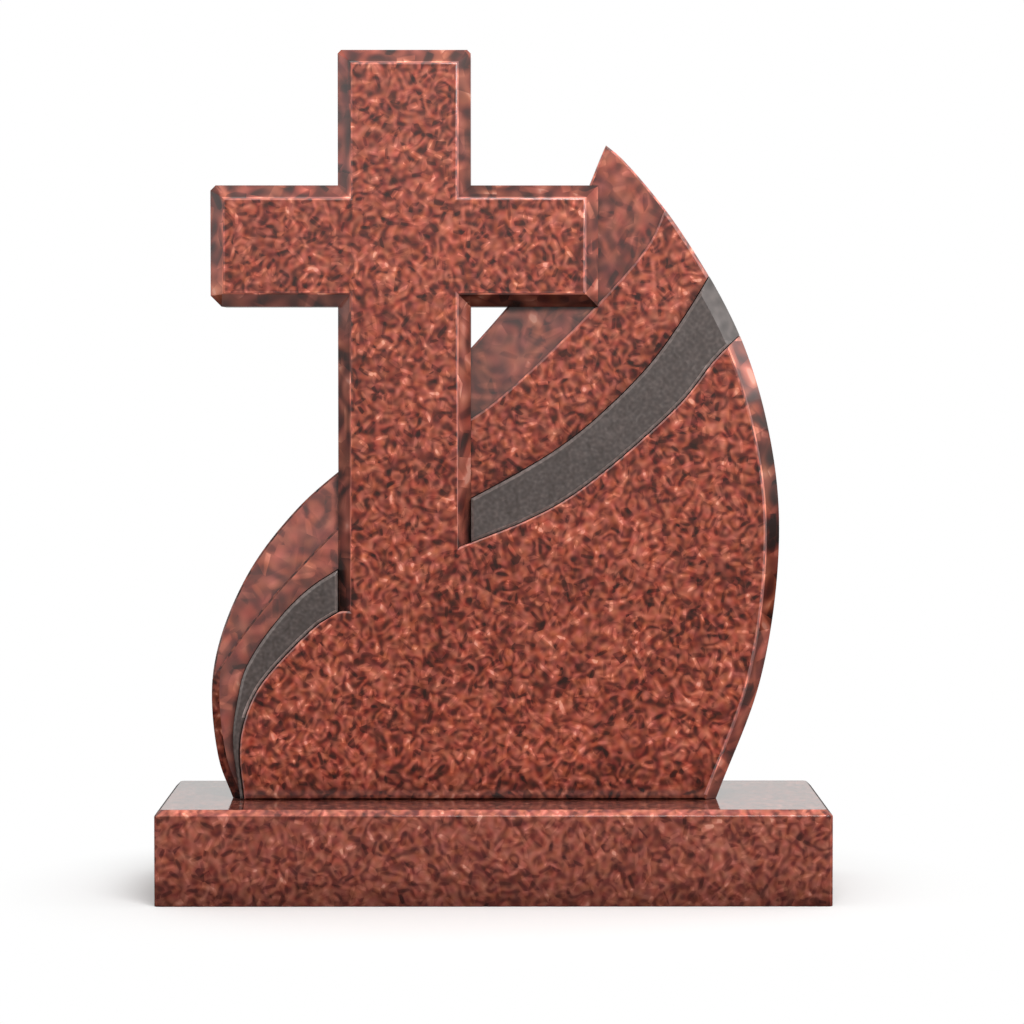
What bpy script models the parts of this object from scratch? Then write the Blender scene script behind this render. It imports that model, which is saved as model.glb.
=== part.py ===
"""Granite headstone: a plain chamfered cross standing in front of a flame-shaped slab, on a plinth.

Units are metres, +Z is up, and the carved front faces -Y. The origin is the middle of the plinth's
underside. Cross and slab are one block, whose slab is carved in three levels, and two bands of dark
granite are let into it, one on each side of the shaft.
"""
import math

import bmesh
import bpy
from mathutils import Vector

# Plinth
BASE_SIDE = 0.0505          # how far it reaches beyond the slab at each end
BASE_FRONT = 0.100          # how far it reaches in front of the block and behind it
BASE_HEIGHT = 0.100
BASE_ARRIS = 0.006          # along the top edges
BASE_EASE = 0.003           # along the upright edges

# Headstone block
STONE_THICKNESS = 0.100
SEAT_GAP = 0.0003           # between pieces that rest on each other
CHAMFER = 0.014             # front edges of the cross, and depth of the slab's own chamfer
BACK_ARRIS = 0.003

# Cross
CROSS_X = -0.094            # its centre line, from the middle of the block
SHAFT_WIDTH = 0.140
HEAD_HEIGHT = 0.1422        # the shaft above the arms
ARM_SPAN = 0.4085
ARM_HEIGHT = 0.1277
TIP_RISE = 0.0426           # how far the slab's tip stands above the arms
HEAD_CUT = 0.0037           # off the two upper corners of the shaft
ARM_CUT_HIGH = 0.0055       # off the upper corner of the free arm
ARM_CUT_LOW = 0.0115        # off its lower corner
SHAFT_ROOT = 0.042          # where the shaft starts inside the lowest field, above the plinth

# Slab behind the cross: its curves are shares of its own width and height
WAVE_WIDTH = 0.600
WAVE_HEIGHT = 0.6902
CURVE_PIECE = 0.008         # length of one straight piece of a curve

# Widths of the bevels along the slab's edge, each at the foot and at the tip: left edge, then right edge
FIELD_CHAMFERS = ((0.009, 0.009), (0.0125, 0.0195))
BAND_ARRISES = ((0.0095, 0.002), (0.004, 0.004))
BACK_ARRISES = ((0.002, 0.002), (0.002, 0.002))

# Levels of the slab's front, from the lowest field, which is flush with the cross, to the uppermost
BAND_STEP = 0.015           # how far the middle field lies behind the lowest
BAND_ARRIS = 0.006          # depth of the bevel round the middle field
BACK_STEP = 0.006           # how far the uppermost field lies behind the middle one
BACK_TILT = math.radians(2.3)   # how far it leans back from there
STEP_ARRIS = 0.002          # on the upper edges of the two lower fields, and depth round the uppermost

# Inlaid bands
RIBBON_DROP = 0.002         # their face behind the lowest field
RIBBON_THICKNESS = 0.024
RIBBON_ARRIS = 0.003        # where a band is wide
ARRIS_SHARE = 0.25          # of a band's width, where it is narrow
JOINT = 0.0008              # open joint along their edges

# Knots of the slab's edges and carved lines: share of its width from the middle, share of its height
LEFT_EDGE = [(-0.461, 0.000), (-0.4865, 0.0622), (-0.495, 0.1966), (-0.4425, 0.330), (-0.347, 0.4435),
             (-0.163, 0.5808), (0.029, 0.758), (0.1375, 0.8824), (0.198, 1.000)]
RIGHT_EDGE = [(0.198, 1.000), (0.2255, 0.980), (0.324, 0.8755), (0.437, 0.7013), (0.492, 0.5281),
              (0.5025, 0.3788), (0.4705, 0.1817), (0.393, 0.000)]
FIELD_LINE = [(-0.430, -0.0552), (-0.4395, 0.0045), (-0.447, 0.0642), (-0.4435, 0.104),
              (-0.424, 0.1544), (-0.3895, 0.1982), (-0.290, 0.2808), (-0.264, 0.2888), (-0.246, 0.2878),
              (-0.110, 0.3638), (-0.064, 0.3847), (0.055, 0.4265), (0.125, 0.4584), (0.195, 0.5027),
              (0.2655, 0.555), (0.336, 0.614), (0.390, 0.6744), (0.432, 0.7092), (0.480, 0.7431),
              (0.560, 0.7909)]
RIBBON_LINE = [(-0.441, -0.0552), (-0.4475, 0.0045), (-0.458, 0.0642), (-0.4595, 0.104),
               (-0.452, 0.1488), (-0.435, 0.2036), (-0.335, 0.3151), (-0.151, 0.4086), (0.055, 0.5055),
               (0.126, 0.545), (0.196, 0.5955), (0.283, 0.6744), (0.378, 0.7988), (0.440, 0.9004)]
RIDGE_LINE = [(-0.530, 0.138), (-0.440, 0.2545), (-0.361, 0.337), (-0.133, 0.5291), (0.008, 0.6117),
              (0.266, 0.8396), (0.298, 0.8954), (0.330, 0.975)]

BASE_WIDTH = WAVE_WIDTH + 2 * BASE_SIDE
BASE_DEPTH = STONE_THICKNESS + 2 * BASE_FRONT
FRONT = -STONE_THICKNESS / 2
BACK = STONE_THICKNESS / 2
FOOT = BASE_HEIGHT + SEAT_GAP
ARM_HIGH = FOOT + WAVE_HEIGHT - TIP_RISE
ARM_LOW = ARM_HIGH - ARM_HEIGHT
SHAFT_LEFT = CROSS_X - SHAFT_WIDTH / 2
SHAFT_RIGHT = CROSS_X + SHAFT_WIDTH / 2
BAND_FRONT = FRONT + BAND_STEP
BACK_FRONT = BAND_FRONT + BACK_STEP
RIBBON_FRONT = FRONT + RIBBON_DROP
RIBBON_FLOOR = RIBBON_FRONT + RIBBON_THICKNESS
CLEAR = 0.005               # how far a cutter stands clear of what it cuts
FLARE = 0.010               # how far what a cutter spares reaches outside the slab
BLUNT = 0.95                # share of the slab's height at which a cutter's copy of it ends flat
MERGE = 0.00002             # points closer than this are one
FLAT = math.radians(0.1)    # faces closer to one plane than this are one
SLIGHT_BEND = math.cos(math.radians(25))
SHARP = math.radians(20)    # edges that bend more than this stay sharp


def smooth_curve(shares):
    """Curve through knots given as shares of the slab, in straight pieces of about CURVE_PIECE.

    It is a Catmull-Rom curve whose knots are spaced by the square root of their distance.
    """
    knots = [Vector((u * WAVE_WIDTH, FOOT + v * WAVE_HEIGHT)) for u, v in shares]
    ends = [2 * knots[0] - knots[1], *knots, 2 * knots[-1] - knots[-2]]
    points = []
    for before, start, end, after in zip(ends, ends[1:], ends[2:], ends[3:]):
        t1 = math.sqrt((start - before).length)
        t2 = t1 + math.sqrt((end - start).length)
        t3 = t2 + math.sqrt((after - end).length)
        pieces = max(1, round((end - start).length / CURVE_PIECE))
        for i in range(pieces):
            t = t1 + (t2 - t1) * i / pieces
            share = (t - t1) / (t2 - t1)
            first = before.lerp(start, t / t1)
            middle = start.lerp(end, share)
            last = end.lerp(after, (t - t2) / (t3 - t2))
            points.append(first.lerp(middle, t / t2).lerp(middle.lerp(last, (t - t1) / (t3 - t1)), share))
    return points + [knots[-1]]


def between(curve, low, high, past):
    """The stretch of a curve, drawn from left to right, between two values of x, run on past its ends.

    It leaves out the curve's points beside a cut end, so that no edge there is shorter than an inset.
    """
    beside = 2 * CURVE_PIECE
    stretch = [point for point in curve if low + beside < point.x < high - beside]
    for limit, place in ((low, 0), (high, len(stretch) + 1)):
        for a, b in zip(curve, curve[1:]):
            if a.x < limit <= b.x:
                stretch.insert(place, a.lerp(b, (limit - a.x) / (b.x - a.x)))
    stretch[0] += (stretch[0] - stretch[1]).normalized() * past
    stretch[-1] += (stretch[-1] - stretch[-2]).normalized() * past
    return stretch


def inset(outline, widths):
    """A closed outline, clockwise from the front, with each edge moved inwards by its width.

    widths is one number, or a list with one for the edge that starts at each point.
    """
    count = len(outline)
    if not isinstance(widths, list):
        widths = [widths] * count
    moved = []
    for i, point in enumerate(outline):
        before = (point - outline[i - 1]).normalized()
        after = (outline[(i + 1) % count] - point).normalized()
        inward = Vector((before.y, -before.x))
        next_inward = Vector((after.y, -after.x))
        along = inward.dot(next_inward)
        if along > SLIGHT_BEND:
            width = (widths[i - 1] + widths[i]) / 2
            moved.append(point + (inward + next_inward) * width / (1 + along))
            continue
        share = (widths[i - 1] - along * widths[i]) / (1 - along ** 2)
        next_share = (widths[i] - along * widths[i - 1]) / (1 - along ** 2)
        moved.append(point + inward * share + next_inward * next_share)
    return moved


def at_depth(y, outline, fall=None):
    """An outline set upright at a depth. fall says how much further back each of its points lies."""
    return [(point.x, y + (fall(point) if fall else 0), point.y) for point in outline]


def solid(name, rings):
    """Closed body through rings of as many points each, capped at the first and the last.

    Points of a ring may fall together where another ring has a corner more.
    """
    bm = bmesh.new()
    loops = [[bm.verts.new(point) for point in ring] for ring in rings]
    bm.faces.new(loops[0])
    bm.faces.new(loops[-1])
    for near, far in zip(loops, loops[1:]):
        for i in range(len(near)):
            bm.faces.new((near[i - 1], near[i], far[i], far[i - 1]))
    bmesh.ops.remove_doubles(bm, verts=bm.verts, dist=MERGE)
    bmesh.ops.recalc_face_normals(bm, faces=bm.faces)
    mesh = bpy.data.meshes.new(name)
    bm.to_mesh(mesh)
    bm.free()
    body = bpy.data.objects.new(name, mesh)
    bpy.context.scene.collection.objects.link(body)
    return body


def combine(body, tool, operation):
    """Joins, cuts or crosses body with tool, and removes the tool."""
    boolean = body.modifiers.new(operation.title(), "BOOLEAN")
    boolean.operation = operation
    boolean.solver = "EXACT"
    boolean.object = tool
    bpy.context.view_layer.update()
    shaped = bpy.data.meshes.new_from_object(body.evaluated_get(bpy.context.evaluated_depsgraph_get()))
    body.modifiers.clear()
    body.data = shaped
    bpy.data.objects.remove(tool)
    clean(body)


def clean(body):
    """Merges what a cut left double and joins flat neighbours."""
    bm = bmesh.new()
    bm.from_mesh(body.data)
    bmesh.ops.remove_doubles(bm, verts=bm.verts, dist=MERGE)
    bmesh.ops.dissolve_limit(bm, angle_limit=FLAT, verts=bm.verts, edges=bm.edges)
    bm.to_mesh(body.data)
    bm.free()


def slab_outline():
    """The flame's outline, clockwise from its left foot over the tip to its right foot."""
    return smooth_curve(LEFT_EDGE)[:-1] + smooth_curve(RIGHT_EDGE)


def blunt_outline():
    """The flame's outline without its tip, whose narrow angle is no place for a wide chamfer."""
    return [point for point in slab_outline() if point.y < FOOT + WAVE_HEIGHT * BLUNT]


def carried_down(outline):
    """An outline of the slab carried on below its foot, in line with its ends."""
    below_right = outline[-1] + (outline[-1] - outline[-2]).normalized() * BASE_HEIGHT
    below_left = outline[0] + (outline[0] - outline[1]).normalized() * BASE_HEIGHT
    return [*outline, below_right, below_left]


def edge_widths(outline, bevels):
    """A width for each edge of an outline of the slab, none where it is level.

    bevels gives the widths of its rising left side and of its right side, each at the foot and at the tip.
    """
    widths = []
    for point, following in zip(outline, outline[1:] + outline[:1]):
        at_foot, at_tip = bevels[0] if following.y > point.y else bevels[1]
        width = at_foot + (at_tip - at_foot) * (point.y - FOOT) / WAVE_HEIGHT
        widths.append(width if following.y != point.y else 0.0)
    return widths


def uppermost_fall(point):
    """How far the uppermost field has fallen away at a point, square to the ridge that it starts from."""
    ridge = smooth_curve(RIDGE_LINE)
    rise = (ridge[-1] - ridge[0]).normalized()
    return math.tan(BACK_TILT) * (point - ridge[0]).dot(Vector((-rise.y, rise.x)))


def bevelled(outline, level, depth, widths, fall=None):
    """Rings of a bevel that starts at a level, inside the outline, and leaves it further back.

    depth is how far behind the level the bevel meets the outline.
    """
    flared = inset(outline, [-width * FLARE / depth for width in widths])
    return [at_depth(level, inset(outline, widths), fall),
            at_depth(level + depth + FLARE, flared, fall),
            at_depth(BACK, flared, fall)]


def carve(stone, region_rings, kept_rings):
    """Cuts a region out of the stone, but for what is kept behind it."""
    tool = solid("carving", region_rings)
    combine(tool, solid("kept", kept_rings), "DIFFERENCE")
    combine(stone, tool, "DIFFERENCE")


def carve_above(stone, line, upper_level, level, arris, bevels, fall=None):
    """Cuts everything above a carved line back from one level to the next, with an arris on the line.

    arris is the depth of the bevel along the slab's edge at the new level, and bevels its widths.
    """
    curve = smooth_curve(line)
    side = WAVE_WIDTH
    top = FOOT + WAVE_HEIGHT + side
    region = list(reversed(curve)) + [Vector((-side, curve[0].y)), Vector((-side, top)),
                                      Vector((side, top)), Vector((side, curve[-1].y))]
    flare = [-CLEAR - STEP_ARRIS] * (len(curve) - 1) + [0.0] * 5
    rings = [at_depth(upper_level - CLEAR, inset(region, flare)),
             at_depth(upper_level + STEP_ARRIS, region),
             at_depth(level + arris + CLEAR, region)]
    outline = carried_down(slab_outline())
    carve(stone, rings, bevelled(outline, level, arris, edge_widths(outline, bevels), fall))


def slab_chamfer(outline, level):
    """Rings of the slab's own chamfer below a level, begun clear in front of it."""
    start = (CHAMFER + CLEAR) / CHAMFER
    widths = [width * start for width in edge_widths(outline, FIELD_CHAMFERS)]
    return bevelled(outline, level - CLEAR, CHAMFER + CLEAR, widths)


def chamfer_lowest_field(stone):
    """Chamfers the slab's edge as far up as the lowest field reaches."""
    top = smooth_curve(FIELD_LINE)[-1].y
    side = WAVE_WIDTH
    region = [Vector((-side, 0)), Vector((-side, top)), Vector((side, top)), Vector((side, 0))]
    rings = [at_depth(FRONT - FLARE, region), at_depth(FRONT + CHAMFER + CLEAR, region)]
    carve(stone, rings, slab_chamfer(carried_down(blunt_outline()), FRONT))


def ribbon_sides(low, high, past=0.0):
    """Upper and lower edge of the inlay between two values of x, both from left to right."""
    return [between(smooth_curve(line), low, high, past) for line in (RIBBON_LINE, FIELD_LINE)]


def make_cross():
    """The cross, its front edges chamfered all round; its root stands inside the lowest field.

    Its free corners are cut off behind the front face, whose own corners stay whole.
    """
    arm_left = CROSS_X - ARM_SPAN / 2
    arm_right = CROSS_X + ARM_SPAN / 2
    root = FOOT + SHAFT_ROOT
    top = ARM_HIGH + HEAD_HEIGHT
    corners = [(SHAFT_LEFT, root, 0), (SHAFT_LEFT, ARM_LOW, 0), (arm_left, ARM_LOW, ARM_CUT_LOW),
               (arm_left, ARM_HIGH, ARM_CUT_HIGH), (SHAFT_LEFT, ARM_HIGH, 0), (SHAFT_LEFT, top, HEAD_CUT),
               (SHAFT_RIGHT, top, HEAD_CUT), (SHAFT_RIGHT, ARM_HIGH, 0), (arm_right, ARM_HIGH, 0),
               (arm_right, ARM_LOW, 0), (SHAFT_RIGHT, ARM_LOW, 0), (SHAFT_RIGHT, root, 0)]
    sharp = [Vector((x, z)) for x, z, _ in corners]
    front = []
    outline = []
    for i, (corner, inner) in enumerate(zip(sharp, inset(sharp, CHAMFER))):
        cut = corners[i][2]
        neighbours = (sharp[i - 1], sharp[(i + 1) % len(sharp)]) if cut else (corner,)
        for neighbour in neighbours:
            outline.append(corner + (neighbour - corner).normalized() * cut)
            front.append(inner)
    return solid("cross", [at_depth(FRONT, front),
                           at_depth(FRONT + CHAMFER, outline),
                           at_depth(BACK - BACK_ARRIS, outline),
                           at_depth(BACK, inset(outline, BACK_ARRIS))])


def make_headstone():
    """The block: the slab carved in its three levels and cut for the inlays, then the cross."""
    outline = slab_outline()
    sides = [BACK_ARRIS] * (len(outline) - 1) + [0.0]
    stone = solid("headstone", [at_depth(FRONT, outline),
                                at_depth(BACK - BACK_ARRIS, outline),
                                at_depth(BACK, inset(outline, sides))])
    chamfer_lowest_field(stone)
    carve_above(stone, FIELD_LINE, FRONT, BAND_FRONT, BAND_ARRIS, BAND_ARRISES)
    carve_above(stone, RIDGE_LINE, BAND_FRONT, BACK_FRONT, STEP_ARRIS, BACK_ARRISES, uppermost_fall)
    for low, high in ((-WAVE_WIDTH, SHAFT_LEFT), (SHAFT_RIGHT, WAVE_WIDTH)):
        upper, lower = ribbon_sides(low, high, CLEAR)
        seat = inset(upper + lower[::-1], -JOINT / 2)
        pocket = solid("pocket", [at_depth(FRONT - CLEAR, seat), at_depth(RIBBON_FLOOR + SEAT_GAP, seat)])
        combine(stone, pocket, "DIFFERENCE")
    combine(stone, make_cross(), "UNION")
    return stone


def make_ribbon(name, low, high):
    """One inlay, its edges arrissed and its outer end chamfered in line with the slab's edge."""
    upper, lower = ribbon_sides(low, high)
    strip = inset(upper + lower[::-1], JOINT / 2)
    widths = []
    for side, other in ((upper, lower), (lower[::-1], upper)):
        for point in side:
            across = min((point - opposite).length for opposite in other)
            widths.append(min(RIBBON_ARRIS, across * ARRIS_SHARE))
    ribbon = solid(name, [at_depth(RIBBON_FRONT, inset(strip, widths)),
                          at_depth(RIBBON_FRONT + RIBBON_ARRIS, strip),
                          at_depth(RIBBON_FLOOR, strip)])
    outline = blunt_outline()
    front, _, _ = slab_chamfer(outline, RIBBON_FRONT)
    end = solid("end", [front, at_depth(RIBBON_FRONT + CHAMFER, outline), at_depth(BACK, outline)])
    combine(ribbon, end, "INTERSECT")
    return ribbon


def rectangle(width, depth):
    """A rectangle round the origin whose four corners are eased."""
    x = width / 2
    y = depth / 2
    corners = [(x, y - BASE_EASE), (x - BASE_EASE, y), (BASE_EASE - x, y), (-x, y - BASE_EASE),
               (-x, BASE_EASE - y), (BASE_EASE - x, -y), (x - BASE_EASE, -y), (x, BASE_EASE - y)]
    return [Vector(corner) for corner in corners]


def make_base():
    """The plinth, with eased upright corners and an arris round its top."""
    foot = rectangle(BASE_WIDTH, BASE_DEPTH)
    top = rectangle(BASE_WIDTH - 2 * BASE_ARRIS, BASE_DEPTH - 2 * BASE_ARRIS)
    levels = [(0, foot), (BASE_HEIGHT - BASE_ARRIS, foot), (BASE_HEIGHT, top)]
    return solid("base", [[(point.x, point.y, z) for point in outline] for z, outline in levels])


def tidy(body):
    """Triangulates a finished body and shades its curved sides smooth."""
    bm = bmesh.new()
    bm.from_mesh(body.data)
    bmesh.ops.triangulate(bm, faces=bm.faces)
    bm.to_mesh(body.data)
    bm.free()
    body.data.shade_smooth()
    body.data.set_sharp_from_angle(angle=SHARP)


def granite(name, colour, roughness):
    """A polished stone."""
    material = bpy.data.materials.new(name)
    material.use_nodes = True
    shader = material.node_tree.nodes["Principled BSDF"]
    shader.inputs["Base Color"].default_value = (*colour, 1)
    shader.inputs["Roughness"].default_value = roughness
    shader.inputs["Metallic"].default_value = 0.0
    return material


def main():
    for thing in list(bpy.data.objects):
        bpy.data.objects.remove(thing)
    red = granite("red granite", (0.35, 0.11, 0.085), 0.15)
    plinth = granite("plinth granite", (0.26, 0.085, 0.065), 0.15)
    dark = granite("dark granite", (0.080, 0.076, 0.070), 0.25)
    bodies = [(make_base(), plinth),
              (make_headstone(), red),
              (make_ribbon("ribbon_right", SHAFT_RIGHT, WAVE_WIDTH), dark),
              (make_ribbon("ribbon_left", -WAVE_WIDTH, SHAFT_LEFT), dark)]
    for body, material in bodies:
        tidy(body)
        body.data.materials.clear()
        body.data.materials.append(material)


main()
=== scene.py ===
import math

import bpy
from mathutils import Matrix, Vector


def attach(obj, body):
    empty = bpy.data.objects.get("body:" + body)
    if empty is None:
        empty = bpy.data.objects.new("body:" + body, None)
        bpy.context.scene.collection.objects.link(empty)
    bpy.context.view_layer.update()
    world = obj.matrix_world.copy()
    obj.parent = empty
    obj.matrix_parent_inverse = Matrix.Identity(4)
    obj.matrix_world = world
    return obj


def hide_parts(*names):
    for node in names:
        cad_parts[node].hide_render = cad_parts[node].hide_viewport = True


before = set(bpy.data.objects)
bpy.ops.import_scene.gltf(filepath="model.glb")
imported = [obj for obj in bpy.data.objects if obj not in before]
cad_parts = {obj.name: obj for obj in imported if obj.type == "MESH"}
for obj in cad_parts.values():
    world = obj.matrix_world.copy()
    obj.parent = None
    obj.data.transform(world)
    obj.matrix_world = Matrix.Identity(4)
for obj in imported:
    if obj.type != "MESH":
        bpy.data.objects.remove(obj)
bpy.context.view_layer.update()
print("frame loaded:", ", ".join(sorted(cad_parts)))

bpy.ops.object.select_all(action="DESELECT")


# Camera and studio

photo = {
    "cameraPlace": (0.0, -4.355, 0.5725),
    "lookAt": (0.0194, -0.05, 0.4041),
    "lens": 143.8,
    "sensor": 36.0,
    "farthest": 60.0,
}


def aimAt(thing, target):
    direction = Vector(target) - thing.location
    thing.rotation_euler = direction.to_track_quat("-Z", "Y").to_euler()


def addCamera():
    bpy.ops.object.camera_add(location=photo["cameraPlace"])
    camera = bpy.context.object
    camera.name = "photoCamera"
    camera.data.lens = photo["lens"]
    camera.data.sensor_width = photo["sensor"]
    camera.data.clip_end = photo["farthest"]
    aimAt(camera, photo["lookAt"])
    bpy.context.scene.camera = camera


# the sky is bright above the horizon and dark below it, but for pale ground right under the stone,
# which the polish shows in its gloss
sky = {
    # sine of the elevation, brightness
    "steps": [(-1.0, 0.60), (-0.90, 0.40), (-0.80, 0.04), (-0.13, 0.05), (-0.08, 0.10), (-0.044, 0.20),
              (-0.009, 0.37), (0.026, 0.52), (0.056, 0.78), (0.12, 0.93), (0.35, 0.65), (0.60, 0.75),
              (1.0, 0.75)],
    "tint": (1.0, 0.985, 0.97, 1.0),
}

softboxes = {
    "keyLight": {"place": (0.46, -1.80, 1.75), "aim": (0.0, 0.0, 0.6), "size": 1.3, "watts": 42.5},
    # these two show in the gloss of the chamfers
    "leftPanel": {"place": (-2.6, 0.05, 0.92), "aim": (-0.2, -0.05, 0.75), "size": 0.6, "watts": 0.6},
    "rightPanel": {"place": (2.2, -0.3, 1.45), "aim": (0.28, -0.05, 0.6), "size": 0.9, "watts": 4.0},
}


def fillRamp(ramp, stops):
    # a new ramp has two stops, and the others are added
    elements = ramp.color_ramp.elements
    for i, (position, colour) in enumerate(stops):
        element = elements[i] if i < 2 else elements.new(1.0)
        element.position = position
        element.color = (*colour, 1)


def addSky():
    world = bpy.data.worlds.new("studioSky")
    bpy.context.scene.world = world
    world.use_nodes = True
    nodes, links = world.node_tree.nodes, world.node_tree.links
    background = nodes["Background"]
    background.inputs["Color"].default_value = sky["tint"]
    direction = nodes.new("ShaderNodeTexCoord")
    split = nodes.new("ShaderNodeSeparateXYZ")
    spread = nodes.new("ShaderNodeMapRange")
    spread.inputs["From Min"].default_value = -1.0
    ramp = nodes.new("ShaderNodeValToRGB")
    fillRamp(ramp, [((sine + 1) / 2, [brightness] * 3) for sine, brightness in sky["steps"]])
    links.new(direction.outputs["Generated"], split.inputs["Vector"])
    links.new(split.outputs["Z"], spread.inputs["Value"])
    links.new(spread.outputs["Result"], ramp.inputs["Fac"])
    links.new(ramp.outputs["Color"], background.inputs["Strength"])


def addSoftboxes():
    for name, box in softboxes.items():
        bpy.ops.object.light_add(type="AREA", location=box["place"])
        lamp = bpy.context.object
        lamp.name = name
        lamp.data.shape = "DISK"
        lamp.data.size = box["size"]
        lamp.data.energy = box["watts"]
        lamp.visible_camera = False
        aimAt(lamp, box["aim"])


studioFloor = {
    "corners": 96,
    "radius": 26.0,
    "wall": 12.0,
    "paleness": 0.9,
    "roughness": 0.9,
    "fadeStart": 0.30,    # from here the floor fades into its own glow, so that no horizon shows
    "fadeEnd": 0.56,
}


def addFloor():
    bpy.ops.mesh.primitive_circle_add(vertices=studioFloor["corners"], radius=studioFloor["radius"],
                                      fill_type="NGON")
    floor = bpy.context.object
    floor.name = "studioFloor"
    bpy.ops.object.mode_set(mode="EDIT")
    bpy.ops.mesh.select_mode(type="EDGE")
    bpy.ops.mesh.select_all(action="DESELECT")
    bpy.ops.mesh.select_non_manifold()
    bpy.ops.mesh.extrude_region_move(TRANSFORM_OT_translate={"value": (0, 0, studioFloor["wall"])})
    bpy.ops.object.mode_set(mode="OBJECT")
    paint = bpy.data.materials.new("studioPaint")
    paint.use_nodes = True
    nodes, links = paint.node_tree.nodes, paint.node_tree.links
    shader = nodes["Principled BSDF"]
    pale = studioFloor["paleness"]
    shader.inputs["Base Color"].default_value = (pale, pale, pale, 1)
    shader.inputs["Roughness"].default_value = studioFloor["roughness"]
    place = nodes.new("ShaderNodeTexCoord")
    distance = nodes.new("ShaderNodeVectorMath")
    distance.operation = "LENGTH"
    fade = nodes.new("ShaderNodeMapRange")
    fade.interpolation_type = "SMOOTHSTEP"
    fade.inputs["From Min"].default_value = studioFloor["fadeStart"]
    fade.inputs["From Max"].default_value = studioFloor["fadeEnd"]
    glow = nodes.new("ShaderNodeEmission")
    mix = nodes.new("ShaderNodeMixShader")
    links.new(place.outputs["Object"], distance.inputs[0])
    links.new(distance.outputs["Value"], fade.inputs["Value"])
    links.new(fade.outputs["Result"], mix.inputs["Fac"])
    links.new(shader.outputs["BSDF"], mix.inputs[1])
    links.new(glow.outputs["Emission"], mix.inputs[2])
    links.new(mix.outputs["Shader"], nodes["Material Output"].inputs["Surface"])
    floor.data.materials.append(paint)
    # the floor shows and takes the shadow, but throws no light up under the stone
    floor.visible_diffuse = False
    floor.visible_glossy = False


bpy.context.scene.view_settings.view_transform = "Standard"
addCamera()
addSky()
addSoftboxes()
addFloor()
print("studio set up")


# Granite

redGranite = {
    # lightness of a grain, colour
    "tones": [
        (0.00, (0.040, 0.018, 0.015)), (0.20, (0.090, 0.025, 0.019)), (0.36, (0.172, 0.038, 0.027)),
        (0.50, (0.283, 0.066, 0.042)), (0.64, (0.394, 0.096, 0.060)), (0.80, (0.529, 0.139, 0.087)),
        (0.92, (0.715, 0.215, 0.135)), (1.00, (0.840, 0.340, 0.240)),
    ],
    "turn": (0.62, 0.41, 0.93),      # keeps the grid of the noise away from the sawn faces
    "patches": {"scale": 25.0, "gain": 0.36},
    "grains": {"scale": 140.0, "gain": 0.64},
    "rings": {"scale": 62.0, "steep": 20.0, "gain": 0.14},
    "plates": {"shifts": (1.1, 5.1), "spacing": 0.0105, "thick": 0.0022, "reach": 0.012, "gain": 0.50},
    "drift": {"scale": 120.0, "hue": 0.020, "saturation": 0.15},
    "roughness": (0.10, 0.05),       # of the darkest and the lightest grains
    "paintedToneGain": 0.50,                    # how strongly the painted tone shows: painted highlights on the arrises, painted shade on darker faces
    # painted shade in the inner corners: how far it reaches, how dark it gets, and its samples
    "paintedCornerShade": {"reach": 0.050, "gain": 1.00, "samples": 3},
    "paintedRoomReflection": (0.62, 0.56, 0.55),      # colour of a painted reflection of a white room in the polish, laid thinly over the grain
    "relief": 0.00001,               # how far the hard grains stand above the soft ones
}

# the plinth's stone has the same grain, a little browner and quieter
plinthGranite = dict(
    redGranite,
    grains={"scale": 140.0, "gain": 0.50},
    tones=[
        (0.00, (0.068, 0.021, 0.018)), (0.20, (0.122, 0.033, 0.027)), (0.36, (0.185, 0.047, 0.035)),
        (0.50, (0.275, 0.074, 0.051)), (0.64, (0.352, 0.099, 0.067)), (0.80, (0.450, 0.133, 0.091)),
        (0.92, (0.580, 0.187, 0.130)), (1.00, (0.690, 0.290, 0.210)),
    ],
)

darkGranite = {
    "tones": [(0.0, (0.063, 0.051, 0.047)), (0.5, (0.093, 0.075, 0.070)), (1.0, (0.138, 0.112, 0.105))],
    "turn": (0.25, 0.80, 0.46),
    "patches": {"scale": 40.0, "gain": 0.50},
    "grains": {"scale": 260.0, "gain": 1.10},
    "rings": {"scale": 90.0, "steep": 16.0, "gain": 0.06},
    "plates": {"shifts": (2.3,), "spacing": 0.007, "thick": 0.0015, "reach": 0.006, "gain": 0.50},
    "drift": {"scale": 160.0, "hue": 0.0, "saturation": 0.30},
    "roughness": (0.26, 0.20),
    # painted highlights and shade, painted corner shade and a painted reflection, as on the red granite
    "paintedToneGain": 0.60,
    "paintedCornerShade": {"reach": 0.010, "gain": 0.50, "samples": 3},
    "paintedRoomReflection": (0.62, 0.60, 0.58),
    "relief": 0.00001,
}

# where each noise is read, so that the parts of a pattern don't follow one another
noiseShifts = {"patches": 0.0, "grains": 0.1, "rings": 0.3, "hue": 0.3, "saturation": 0.9}
noiseWay = (1.0, 0.6, -1.0)    # the way that a shift moves a noise
plateWay = (1.0, 1.7, 0.6)     # and the flat crystals
plateRise = 1.6                # how soon a flat crystal shows in full, from its edge inwards


def addMath(tree, operation, *values, clamp=False):
    step = tree.nodes.new("ShaderNodeMath")
    step.operation = operation
    step.use_clamp = clamp
    for socket, value in zip(step.inputs, values):
        if isinstance(value, (int, float)):
            socket.default_value = value
        else:
            tree.links.new(value, socket)
    return step.outputs["Value"]


def addVectorMath(tree, operation, *values):
    step = tree.nodes.new("ShaderNodeVectorMath")
    step.operation = operation
    for socket, value in zip(step.inputs, values):
        if isinstance(value, tuple):
            socket.default_value = value
        else:
            tree.links.new(value, socket)
    return step.outputs["Value" if operation == "DOT_PRODUCT" else "Vector"]


def shiftPlace(tree, place, way, shift):
    return addVectorMath(tree, "ADD", place, tuple(part * shift for part in way))


def addAttribute(tree, name):
    # what markFaces says of each face
    attribute = tree.nodes.new("ShaderNodeAttribute")
    attribute.attribute_name = name
    return attribute.outputs["Fac"]


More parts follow.
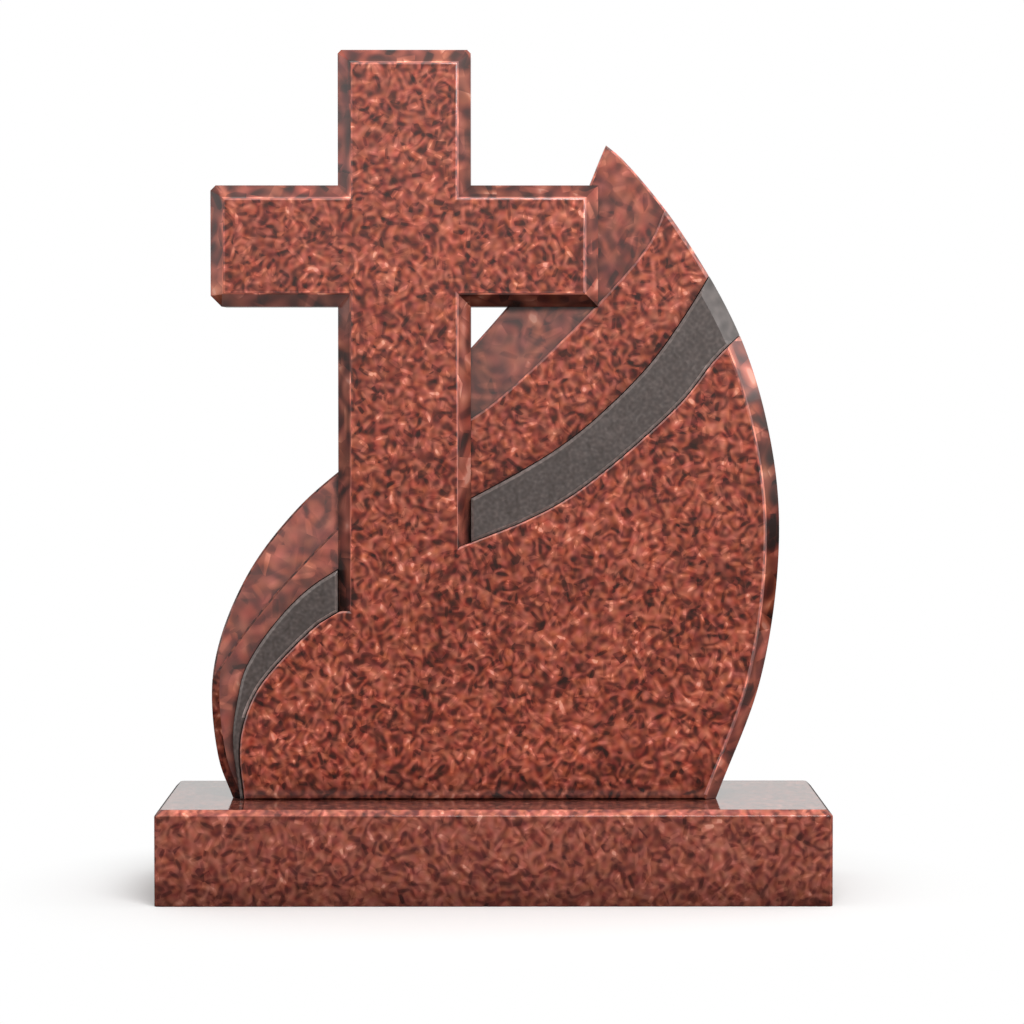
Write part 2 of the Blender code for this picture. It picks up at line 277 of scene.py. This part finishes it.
def addNoise(tree, place, scale, shift=0.0, detail=0.0):
    noise = tree.nodes.new("ShaderNodeTexNoise")
    noise.inputs["Scale"].default_value = scale
    noise.inputs["Detail"].default_value = detail
    tree.links.new(shiftPlace(tree, place, noiseWay, shift), noise.inputs["Vector"])
    return addMath(tree, "SUBTRACT", noise.outputs["Fac"], 0.5)


def addRings(tree, place, look):
    # light and dark lines follow the levels of a field, and so close into rings and bands
    field = addNoise(tree, place, look["scale"], noiseShifts["rings"])
    return addMath(tree, "SINE", addMath(tree, "MULTIPLY", field, look["steep"]))


def addPlates(tree, place, look, shift):
    # one flat crystal to a cell, at any tilt, so that a sawn face cuts it into a lath
    moved = shiftPlace(tree, place, plateWay, shift)
    cells = tree.nodes.new("ShaderNodeTexVoronoi")
    cells.inputs["Scale"].default_value = 1 / look["spacing"]
    tree.links.new(moved, cells.inputs["Vector"])
    away = addVectorMath(tree, "SUBTRACT", moved, cells.outputs["Position"])
    tilt = addVectorMath(tree, "SUBTRACT", cells.outputs["Color"], (0.5, 0.5, 0.5))
    tilt = addVectorMath(tree, "NORMALIZE", tilt)
    height = addVectorMath(tree, "DOT_PRODUCT", away, tilt)
    distance = addVectorMath(tree, "DOT_PRODUCT", away, away)
    flatness = 1 / look["thick"] ** 2 - 1 / look["reach"] ** 2
    depth = addMath(tree, "MULTIPLY", addMath(tree, "MULTIPLY", height, height), flatness)
    depth = addMath(tree, "MULTIPLY_ADD", distance, 1 / look["reach"] ** 2, depth)
    plate = addMath(tree, "SUBTRACT", 1.0, depth, clamp=True)
    plate = addMath(tree, "MULTIPLY", plate, plateRise, clamp=True)
    # each crystal is lighter or darker than the ground by its own draw
    draw = tree.nodes.new("ShaderNodeTexWhiteNoise")
    tree.links.new(cells.outputs["Position"], draw.inputs["Vector"])
    return addMath(tree, "MULTIPLY", plate, addMath(tree, "SUBTRACT", draw.outputs["Value"], 0.5))


def addPlace(tree, look):
    # the pattern is coarser on the chamfers and the highest fields
    scaled = tree.nodes.new("ShaderNodeVectorMath")
    scaled.operation = "SCALE"
    tree.links.new(tree.nodes.new("ShaderNodeTexCoord").outputs["Object"], scaled.inputs[0])
    finer = addMath(tree, "SUBTRACT", 1.0, addAttribute(tree, "coarse"))
    tree.links.new(finer, scaled.inputs["Scale"])
    turned = tree.nodes.new("ShaderNodeMapping")
    turned.inputs["Rotation"].default_value = look["turn"]
    tree.links.new(scaled.outputs["Vector"], turned.inputs["Vector"])
    return turned.outputs["Vector"]


def addTone(tree, look, place):
    # lightness of the grains: 0.5, and what each part of the pattern adds to it
    patches, grains, rings, plates = (look[part] for part in ("patches", "grains", "rings", "plates"))
    parts = [(addNoise(tree, place, patches["scale"], noiseShifts["patches"], 1.0), patches["gain"]),
             (addNoise(tree, place, grains["scale"], noiseShifts["grains"]), grains["gain"]),
             (addRings(tree, place, rings), rings["gain"])]
    parts += [(addPlates(tree, place, plates, shift), plates["gain"]) for shift in plates["shifts"]]
    sway = 0.0
    for part, gain in parts:
        sway = addMath(tree, "MULTIPLY_ADD", part, gain, sway)
    swing = addMath(tree, "ADD", addAttribute(tree, "swing"), 1.0)
    return addMath(tree, "MULTIPLY_ADD", sway, swing, 0.5)


def addColour(tree, look, place, tone):
    ramp = tree.nodes.new("ShaderNodeValToRGB")
    fillRamp(ramp, look["tones"])
    tree.links.new(tone, ramp.inputs["Fac"])
    tint = tree.nodes.new("ShaderNodeHueSaturation")
    tree.links.new(ramp.outputs["Color"], tint.inputs["Color"])
    for kind, socket, middle in (("hue", "Hue", 0.5), ("saturation", "Saturation", 1.0)):
        drift = addNoise(tree, place, look["drift"]["scale"], noiseShifts[kind])
        drifted = addMath(tree, "MULTIPLY_ADD", drift, look["drift"][kind], middle)
        tree.links.new(drifted, tint.inputs[socket])
    # painted highlights on the arrises and painted shade on the faces that get less light
    litAndShaded = addMath(tree, "MULTIPLY_ADD", addAttribute(tree, "arris"), look["paintedToneGain"], 1.0)
    # painted shade in the inner corners, darker where the occlusion node finds other faces close by
    cornerOcclusion = tree.nodes.new("ShaderNodeAmbientOcclusion")
    cornerOcclusion.samples = look["paintedCornerShade"]["samples"]
    cornerOcclusion.inputs["Distance"].default_value = look["paintedCornerShade"]["reach"]
    gain = look["paintedCornerShade"]["gain"]
    shade = addMath(tree, "MULTIPLY_ADD", cornerOcclusion.outputs["AO"], gain, 1 - gain)
    tree.links.new(addMath(tree, "MULTIPLY", litAndShaded, shade), tint.inputs["Value"])
    # a painted reflection of the white room, mixed thinly over the colour
    mix = tree.nodes.new("ShaderNodeMixRGB")
    mix.inputs["Color2"].default_value = (*look["paintedRoomReflection"], 1)
    tree.links.new(addAttribute(tree, "paintedReflection"), mix.inputs["Fac"])
    tree.links.new(tint.outputs["Color"], mix.inputs["Color1"])
    return mix.outputs["Color"]


def makeGranite(name, look):
    granite = bpy.data.materials.new(name)
    granite.use_nodes = True
    tree = granite.node_tree
    shader = tree.nodes["Principled BSDF"]
    place = addPlace(tree, look)
    tone = addTone(tree, look, place)
    tree.links.new(addColour(tree, look, place, tone), shader.inputs["Base Color"])
    polish = tree.nodes.new("ShaderNodeMapRange")
    polish.inputs["To Min"].default_value, polish.inputs["To Max"].default_value = look["roughness"]
    tree.links.new(tone, polish.inputs["Value"])
    tree.links.new(polish.outputs["Result"], shader.inputs["Roughness"])
    bump = tree.nodes.new("ShaderNodeBump")
    bump.inputs["Distance"].default_value = look["relief"]
    tree.links.new(tone, bump.inputs["Height"])
    tree.links.new(bump.outputs["Normal"], shader.inputs["Normal"])
    return granite


redStone = makeGranite("redGranite", redGranite)
plinthStone = makeGranite("plinthGranite", plinthGranite)
darkStone = makeGranite("darkGranite", darkGranite)
print("granites mixed")


# Stones

# how the edges of every stone are eased
easing = {
    "doubles": 0.00002,        # corners closer than this are one
    "flat": 0.2,               # degrees, and faces that turn less are one
    "angle": 22.0,             # edges sharper than this are eased
    "width": 0.0007,
    "segments": 2,
    "footWidth": 0.0050,       # along the foot of a stone that stands on the plinth
    "footLevel": 0.0001,       # an edge no higher than this over the lowest corner is of the foot
    "onGround": 0.05,          # a stone that starts below this is the plinth and keeps a square foot
    "frontShare": 0.40,        # of the foot's width, along the front edges of the wide chamfers
    "shadingWeight": 100,
}

# faces are told apart by their lean, which is 1 where they look straight to the front
leans = {
    "sloping": 0.45,           # a face that leans less is a side, a top or a back
    "front": 0.90,             # one that leans more is a front, and those between the two slope
    "flatFront": 0.99,         # the fronts that a wide chamfer has its front edge on
    "narrow": 0.0075,          # sloping faces less deep than this are arrises, deeper ones chamfers
}

leftOfShaft = -0.165
anywhere = 9.0                 # past every face of the stone

# A tone is painted light and shade: above 0 it is a painted highlight, as on the arrises, 0 is plain
# granite, and below 0 it is painted shade on a face that gets less light. A painted reflection is the share
# of the white room that the polish would show, painted into the colour.
redFaces = {
    "plinthTop": 0.11,         # below this no arris has a painted reflection
    "rimPaintedReflection": 0.14,           # painted reflection of the other arrises
    "litEdge": (1.5, 0.15),    # painted highlight and painted reflection of the front edges that look up or right
    "farEdge": (0.7, 0.04),    # and of the others
    "lit": 0.2,                # a normal's share from which an edge counts as lit
    # painted shade where the foot turns under
    "footPaintedShade": -0.2,
    "coarse": 0.60,            # how much the pattern's scale falls on the chamfers
    "swing": 0.32,             # how much more it swings there
    "highSwing": -0.15,        # and on the highest fields
    "highField": -0.031,       # the highest field lies behind this depth
    "leftDepth": -0.040,       # left of the shaft everything behind this counts as high too
    # the high fields from left to right: where each ends, coarseness, painted tone of the field (below 0 it
    # is painted shade), painted reflection, painted tone of the rim
    "highFields": [
        (leftOfShaft, 0.45, 0.15, 0.07, -0.9),
        (0.105, 0.45, -0.75, 0.06, 1.3),
        (anywhere, 0.35, -0.25, 0.02, 1.3),
    ],
    # the wide chamfers by the side they look to, with painted light and shade for the light that side gets:
    # below which x and z, painted tone, painted reflection
    "chamfers": {
        "up": [(leftOfShaft, anywhere, -0.30, 0.03), (-0.04, anywhere, -0.52, 0.03),
               (anywhere, anywhere, -0.95, 0.01)],
        "down": [(leftOfShaft, anywhere, -0.40, 0.15), (anywhere, anywhere, -1.30, 0.0)],
        "left": [(anywhere, 0.46, -0.80, 0.02), (anywhere, anywhere, 0.05, 0.0)],
        "right": [(0.0, 0.60, -0.35, 0.02), (0.0, anywhere, -0.65, 0.03), (anywhere, 0.28, 0.10, 0.05),
                  (anywhere, 0.49, -0.80, 0.0), (anywhere, anywhere, 0.05, 0.03)],
    },
}

darkFaces = {
    "linePaintedHighlight": 6.5,           # painted highlight of the line under each band
    "lineNormal": -0.2,        # an arris that looks further down than this is in that line
}


def regionOf(regions, *place):
    # what the first region says whose limits lie past the place
    count = len(place)
    return next(region[count:] for region in regions if all(a < b for a, b in zip(place, region)))


def sideOf(normal):
    if abs(normal.z) > abs(normal.x):
        return "up" if normal.z > 0 else "down"
    return "right" if normal.x > 0 else "left"


def lookOf(face, isWide, isDark):
    # painted tone of a face (painted light above 0, painted shade below), coarseness and swing of its
    # pattern, painted reflection
    x, depth, height = face.center
    lean = -face.normal.y
    if lean <= leans["sloping"]:
        return 0.0, 0.0, 0.0, 0.0
    isFront = lean >= leans["front"]
    behind = depth > redFaces["highField"] or x < leftOfShaft and depth > redFaces["leftDepth"]
    if behind and depth < 0 and not isDark:
        coarseness, tone, paintedReflection, rimPaintedTone = regionOf(redFaces["highFields"], x)
        if isFront:
            return tone, coarseness, redFaces["highSwing"], paintedReflection
        return rimPaintedTone, 0.0, 0.0, redFaces["rimPaintedReflection"] if rimPaintedTone > 0 else 0.0
    if isFront:
        return 0.0, 0.0, 0.0, 0.0
    if isWide:
        tone, paintedReflection = (0.0, 0.0) if isDark else regionOf(redFaces["chamfers"][sideOf(face.normal)], x, height)
        return tone, redFaces["coarse"], redFaces["swing"], paintedReflection
    if isDark:
        return darkFaces["linePaintedHighlight"] if face.normal.z < darkFaces["lineNormal"] else 1.0, 0.0, 0.0, 0.0
    return 1.0, 0.0, 0.0, 0.0 if height < redFaces["plinthTop"] else redFaces["rimPaintedReflection"]


def markFaces(piece):
    # paints light, shade and reflection into each face, sets the coarseness and swing of its pattern, and
    # says which edges the first bevel rounds
    mesh = piece.data
    names = ("arris", "coarse", "swing", "paintedReflection")
    for name in names:
        mesh.attributes.new(name, "FLOAT", "FACE")
    mesh.attributes.new("bevel_weight_edge", "FLOAT", "EDGE")
    looks = [mesh.attributes[name].data for name in names]
    weight = mesh.attributes["bevel_weight_edge"].data
    isDark = "band" in piece.name
    sides = {}
    for face in mesh.polygons:
        depths = [mesh.vertices[i].co.y for i in face.vertices]
        isWide = max(depths) - min(depths) >= leans["narrow"]
        for look, value in zip(looks, lookOf(face, isWide, isDark)):
            look[face.index].value = value
        for key in face.edge_keys:
            sides.setdefault(key, []).append((-face.normal.y, isWide))
    low = min(vertex.co.z for vertex in mesh.vertices)
    for edge in mesh.edges:
        slopes = sorted(sides[edge.key])
        (lean, isWide), (frontLean, _) = slopes[0], slopes[-1]
        top = max(mesh.vertices[i].co.z for i in edge.vertices)
        if top < low + easing["footLevel"] and frontLean > leans["front"] and low > easing["onGround"]:
            weight[edge.index].value = 1.0
        elif (frontLean > leans["flatFront"] and leans["sloping"] < lean < leans["front"]
              and isWide and not isDark):
            weight[edge.index].value = easing["frontShare"]


def bevelEdges(piece, name, method, width):
    bevel = piece.modifiers.new(name, "BEVEL")
    bevel.width = width
    bevel.segments = easing["segments"]
    bevel.limit_method = method
    bevel.angle_limit = math.radians(easing["angle"])
    bevel.material = 1 if method == "WEIGHT" else -1
    bevel.use_clamp_overlap = method != "WEIGHT"
    bpy.ops.object.modifier_apply(modifier=name)


def easedCopy(nodeName, pieceName, stone):
    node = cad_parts[nodeName]
    piece = bpy.data.objects.new(pieceName, node.data.copy())
    bpy.context.scene.collection.objects.link(piece)
    bpy.context.view_layer.objects.active = piece
    piece.select_set(True)
    bpy.ops.object.mode_set(mode="EDIT")
    bpy.ops.mesh.select_all(action="SELECT")
    bpy.ops.mesh.remove_doubles(threshold=easing["doubles"])
    bpy.ops.mesh.dissolve_limited(angle_limit=math.radians(easing["flat"]))
    bpy.ops.object.mode_set(mode="OBJECT")
    markFaces(piece)
    # the faces of the first bevel land in the second slot, which tells them apart
    piece.data.materials.clear()
    piece.data.materials.append(stone)
    piece.data.materials.append(stone)
    bevelEdges(piece, "front", "WEIGHT", easing["footWidth"])
    bevelEdges(piece, "all", "ANGLE", easing["width"])
    low = min(vertex.co.z for vertex in piece.data.vertices)
    arris, paintedReflection = (piece.data.attributes[name].data for name in ("arris", "paintedReflection"))
    for face in piece.data.polygons:
        if face.material_index == 1:
            # painted highlight along the front edges, stronger where they look up or right, and painted
            # shade where the foot turns under
            isFoot = face.center.z < low + easing["footWidth"]
            isLit = max(face.normal.x, face.normal.z) > redFaces["lit"]
            tone, paintedRoomReflection = redFaces["litEdge"] if isLit else redFaces["farEdge"]
            arris[face.index].value = redFaces["footPaintedShade"] if isFoot else tone
            paintedReflection[face.index].value = 0.0 if isFoot else paintedRoomReflection
            face.material_index = 0
    piece.data.materials.pop(index=1)
    bpy.ops.object.shade_smooth()
    # the wide faces rule the shading, so that they stay flat beside their eased edges
    shading = piece.modifiers.new("shading", "WEIGHTED_NORMAL")
    shading.mode = "FACE_AREA"
    shading.weight = easing["shadingWeight"]
    bpy.ops.object.modifier_apply(modifier="shading")
    piece.select_set(False)
    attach(piece, "root")
    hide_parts(nodeName)
    marked = sum(tone.value != 0 for tone in piece.data.attributes["arris"].data)
    print(pieceName, "has", len(piece.data.polygons), "faces,", marked, "of them with a tone")
    return piece


easedCopy("base", "plinth_stone", plinthStone)
easedCopy("headstone", "cross_and_slab", redStone)
easedCopy("ribbon_right", "right_band", darkStone)
easedCopy("ribbon_left", "left_band", darkStone)
